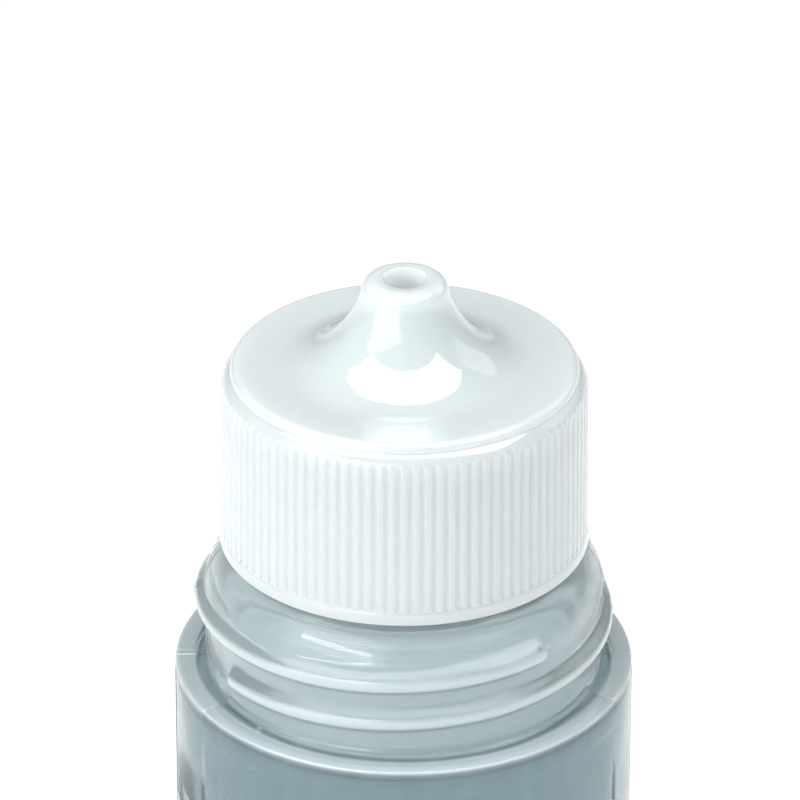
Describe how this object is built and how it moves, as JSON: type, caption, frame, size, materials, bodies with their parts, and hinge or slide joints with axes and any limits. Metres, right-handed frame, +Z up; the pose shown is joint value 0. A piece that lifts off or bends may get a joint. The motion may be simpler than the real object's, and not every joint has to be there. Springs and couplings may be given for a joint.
{
  "type": "dropper bottle",
  "caption": "Squeezable plastic dropper bottle with a stepped threaded neck and a ribbed screw closure that carries a flared dropping spout.",
  "frame": {"origin": "centre of the bottle's footprint, on the surface it stands on", "axes": "+Z up the bottle's axis to the spout's tip, -Y to the front, +X to the right; the mould's parting plane is the XZ plane"},
  "size_m": [0.0344, 0.034, 0.1117],
  "materials": {
    "bottle": "natural translucent polyethylene, blow-moulded, soft gloss",
    "closure": "milky white polypropylene, injection-moulded, glossy",
    "insert": "natural polyethylene, injection-moulded",
    "washer": "soft foamed polyethylene"
  },
  "bodies": {
    "bottle_body": {"bottle": "bottle"},
    "washer_body": {"sealing_washer": "washer"},
    "closure_body": {"nozzle_closure": "closure", "metering_insert": "insert"}
  },
  "joints": [
    {"name": "closure_lift", "type": "slide", "parent": "bottle_body", "child": "washer_body", "axis": [0, 0, 1], "range_m": [0, 0.01429]},
    {"name": "closure_turn", "type": "hinge", "parent": "washer_body", "child": "closure_body", "pos_m": [0, 0, 0.1034], "axis": [0, 0, 1], "range_deg": [0, 1620]}
  ],
  "couplings": [
    {"joint": "closure_lift", "follows": "closure_turn", "m_per_rad": 0.00050532}
  ]
}
